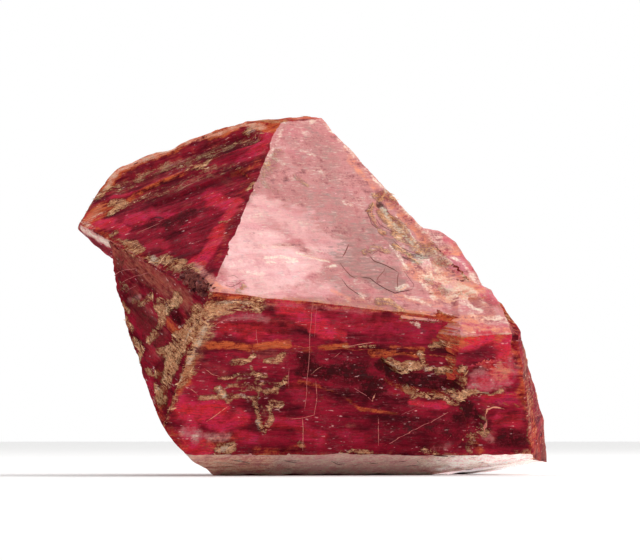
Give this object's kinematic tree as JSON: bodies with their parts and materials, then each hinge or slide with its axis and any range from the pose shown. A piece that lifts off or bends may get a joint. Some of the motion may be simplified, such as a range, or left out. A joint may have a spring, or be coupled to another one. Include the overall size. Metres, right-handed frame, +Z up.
{
  "type": "raw spinel crystal",
  "caption": "Raw red spinel crystal: a distorted octahedron with a pale pink upper face, stepped ledges, a side crystal and beige crust, resting on a flat base.",
  "frame": {"origin": "centre of the bounding box at the bottom, on the flat base face", "axes": "+X to the crystal's right as it faces the viewer, along its longest extent; -Y towards the viewer; +Z up from the flat base"},
  "size_m": [0.0204, 0.018, 0.0155],
  "materials": {
    "spinel": "vitreous, translucent crimson with a pale pink face, orange rims and beige crust"
  },
  "bodies": {
    "root": {"spinel_crystal": "spinel"}
  },
  "joints": []
}
